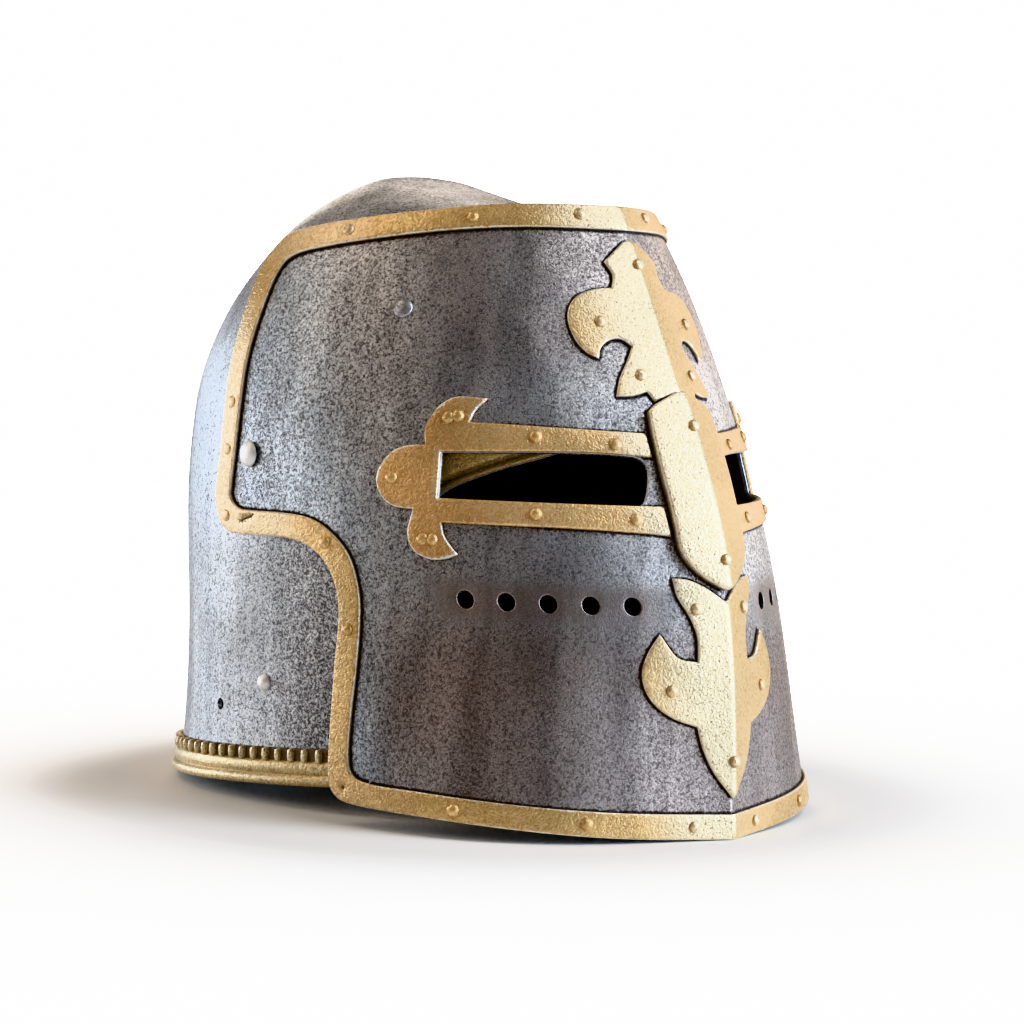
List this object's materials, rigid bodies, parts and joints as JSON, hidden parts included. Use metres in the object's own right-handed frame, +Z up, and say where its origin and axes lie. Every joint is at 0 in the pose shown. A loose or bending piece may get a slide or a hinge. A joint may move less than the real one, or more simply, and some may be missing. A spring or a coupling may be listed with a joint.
{
  "type": "great helm with a hinged visor",
  "caption": "Closed helm: round-crowned steel skull on a ribbed neck band, with a keeled visor that lifts on side rivets and carries a gilt cross, eye slits and breathing holes",
  "frame": {"origin": "on the surface that the helm stands on, under the middle of its bounding box", "axes": "+Z up, the face looks along -Y, the wearer's right is -X"},
  "size_m": [0.2418, 0.3277, 0.2768],
  "materials": {
    "aged_silver": "antiqued, finely pitted silver-grey steel",
    "aged_gold": "antiqued, finely hammered gilt"
  },
  "bodies": {
    "helm": {"skull_shell": "aged_silver", "neck_band": "aged_gold", "face_opening_trim": "aged_gold", "skull_rivet_right": "aged_silver", "skull_rivet_left": "aged_silver", "pivot_rivet_right": "aged_silver", "pivot_rivet_left": "aged_silver"},
    "visor": {"visor_plate": "aged_silver", "visor_border": "aged_gold", "cross_top": "aged_gold", "nose_plate": "aged_gold", "cross_bottom": "aged_gold", "eye_frame_right": "aged_gold", "eye_frame_left": "aged_gold", "cheek_boss": "aged_silver"}
  },
  "joints": [
    {"name": "visor_pivot", "type": "hinge", "parent": "helm", "child": "visor", "pos_m": [0, 0.01816, 0.15039], "axis": [-1, 0, 0], "range_deg": [0, 45]}
  ]
}
